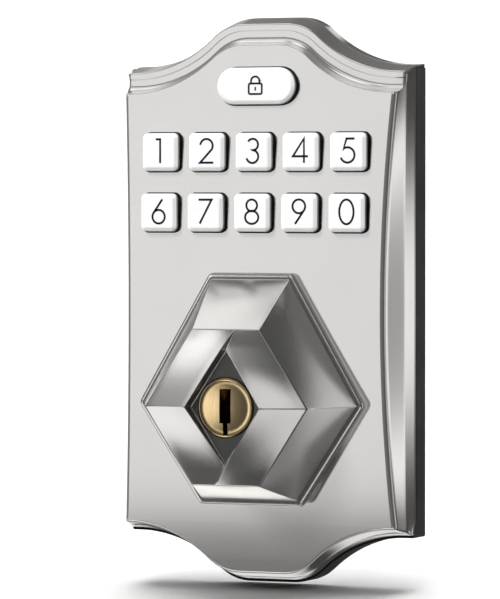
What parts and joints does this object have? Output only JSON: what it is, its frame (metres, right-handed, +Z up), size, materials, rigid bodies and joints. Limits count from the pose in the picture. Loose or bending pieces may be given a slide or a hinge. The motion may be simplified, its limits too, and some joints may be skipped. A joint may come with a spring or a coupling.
{
  "type": "keypad smart lock",
  "caption": "Outside half of a keypad deadbolt: domed escutcheon with number keys, a lock key, a faceted turn around a key cylinder, and a tailpiece into the door.",
  "frame": {"origin": "where the key cylinder's axis crosses the outer face of the door", "axes": "+Z up along the escutcheon, +Y into the door along the cylinder axis, +X to the right as seen from outside"},
  "size_m": [0.074, 0.0885, 0.1359],
  "materials": {
    "satin_nickel": "satin nickel plate, fine brushed, bright on the chamfers",
    "rubber_gasket": "matt black moulded rubber",
    "zinc_plated_steel": "bright zinc plate",
    "spring_steel": "polished spring steel",
    "cast_zinc": "as-cast zinc alloy",
    "brass": "machined brass, fine turning marks",
    "white_keys": "white, semi gloss, black printed digits",
    "silicone": "grey silicone",
    "circuit_board": "green solder mask",
    "black_plastic": "matt black",
    "nylon": "natural nylon"
  },
  "bodies": {
    "lock_body": {"escutcheon": "satin_nickel", "rear_gasket": "rubber_gasket", "chassis_plate": "zinc_plated_steel", "mounting_post_left": "zinc_plated_steel", "mounting_post_right": "zinc_plated_steel", "chassis_screw_1": "zinc_plated_steel", "chassis_screw_2": "zinc_plated_steel", "chassis_screw_3": "zinc_plated_steel", "chassis_screw_4": "zinc_plated_steel", "cylinder_screw_1": "zinc_plated_steel", "cylinder_screw_2": "zinc_plated_steel", "keypad_board": "circuit_board", "keypad_membrane": "silicone", "board_screw_1": "zinc_plated_steel", "board_screw_2": "zinc_plated_steel", "board_screw_3": "zinc_plated_steel", "board_screw_4": "zinc_plated_steel", "cable_connector": "black_plastic", "buzzer": "black_plastic", "cylinder_body": "cast_zinc", "driver_pin_1": "brass", "driver_pin_2": "brass", "driver_pin_3": "brass", "driver_pin_4": "brass", "driver_pin_5": "brass", "pin_spring_1": "spring_steel", "pin_spring_2": "spring_steel", "pin_spring_3": "spring_steel", "pin_spring_4": "spring_steel", "pin_spring_5": "spring_steel", "chamber_cover": "brass", "turn_bush": "nylon", "turn_return_spring": "spring_steel", "clutch_motor": "zinc_plated_steel", "motor_cradle": "nylon"},
    "outside_turn": {"outside_turn": "satin_nickel", "turn_retaining_ring": "spring_steel"},
    "key_plug": {"key_plug": "brass", "key_pin_1": "brass", "key_pin_2": "brass", "key_pin_3": "brass", "key_pin_4": "brass", "key_pin_5": "brass", "plug_retainer": "zinc_plated_steel", "drive_hub": "cast_zinc", "tailpiece": "zinc_plated_steel"},
    "clutch_pin": {"clutch_pin": "zinc_plated_steel"},
    "clutch_shoe": {"clutch_shoe": "nylon"},
    "clutch_screw": {"clutch_screw": "zinc_plated_steel"},
    "key_1": {"key_1": "white_keys"},
    "key_2": {"key_2": "white_keys"},
    "key_3": {"key_3": "white_keys"},
    "key_4": {"key_4": "white_keys"},
    "key_5": {"key_5": "white_keys"},
    "key_6": {"key_6": "white_keys"},
    "key_7": {"key_7": "white_keys"},
    "key_8": {"key_8": "white_keys"},
    "key_9": {"key_9": "white_keys"},
    "key_0": {"key_0": "white_keys"},
    "lock_key": {"lock_key": "white_keys"}
  },
  "joints": [
    {"name": "turn_hinge", "type": "hinge", "parent": "lock_body", "child": "outside_turn", "pos_m": [0, -0.018, 0], "axis": [0, 1, 0], "range_deg": [-90, 90], "stiffness_Nm_per_rad": 0.12},
    {"name": "key_turn", "type": "hinge", "parent": "lock_body", "child": "key_plug", "pos_m": [0, -0.0102, 0], "axis": [0, 1, 0], "range_deg": [-90, 90]},
    {"name": "clutch_screw_turn", "type": "hinge", "parent": "lock_body", "child": "clutch_screw", "pos_m": [0, -0.0087, 0.0246], "axis": [0, 0, 1], "range_deg": [0, 900]},
    {"name": "clutch_shoe_slide", "type": "slide", "parent": "lock_body", "child": "clutch_shoe", "axis": [0, 0, -1], "range_m": [0, 0.0025]},
    {"name": "clutch_pin_slide", "type": "slide", "parent": "outside_turn", "child": "clutch_pin", "axis": [0, 0, -1], "range_m": [0, 0.0025]},
    {"name": "key_1_press", "type": "slide", "parent": "lock_body", "child": "key_1", "axis": [0, 1, 0], "range_m": [0, 0.001], "stiffness_N_per_m": 1500},
    {"name": "key_2_press", "type": "slide", "parent": "lock_body", "child": "key_2", "axis": [0, 1, 0], "range_m": [0, 0.001], "stiffness_N_per_m": 1500},
    {"name": "key_3_press", "type": "slide", "parent": "lock_body", "child": "key_3", "axis": [0, 1, 0], "range_m": [0, 0.001], "stiffness_N_per_m": 1500},
    {"name": "key_4_press", "type": "slide", "parent": "lock_body", "child": "key_4", "axis": [0, 1, 0], "range_m": [0, 0.001], "stiffness_N_per_m": 1500},
    {"name": "key_5_press", "type": "slide", "parent": "lock_body", "child": "key_5", "axis": [0, 1, 0], "range_m": [0, 0.001], "stiffness_N_per_m": 1500},
    {"name": "key_6_press", "type": "slide", "parent": "lock_body", "child": "key_6", "axis": [0, 1, 0], "range_m": [0, 0.001], "stiffness_N_per_m": 1500},
    {"name": "key_7_press", "type": "slide", "parent": "lock_body", "child": "key_7", "axis": [0, 1, 0], "range_m": [0, 0.001], "stiffness_N_per_m": 1500},
    {"name": "key_8_press", "type": "slide", "parent": "lock_body", "child": "key_8", "axis": [0, 1, 0], "range_m": [0, 0.001], "stiffness_N_per_m": 1500},
    {"name": "key_9_press", "type": "slide", "parent": "lock_body", "child": "key_9", "axis": [0, 1, 0], "range_m": [0, 0.001], "stiffness_N_per_m": 1500},
    {"name": "key_0_press", "type": "slide", "parent": "lock_body", "child": "key_0", "axis": [0, 1, 0], "range_m": [0, 0.001], "stiffness_N_per_m": 1500},
    {"name": "lock_key_press", "type": "slide", "parent": "lock_body", "child": "lock_key", "axis": [0, 1, 0], "range_m": [0, 0.001], "stiffness_N_per_m": 1500}
  ],
  "couplings": [
    {"joint": "clutch_screw_turn", "follows": "clutch_shoe_slide", "rad_per_m": 6283.2},
    {"joint": "clutch_pin_slide", "follows": "clutch_shoe_slide", "ratio": 1}
  ]
}
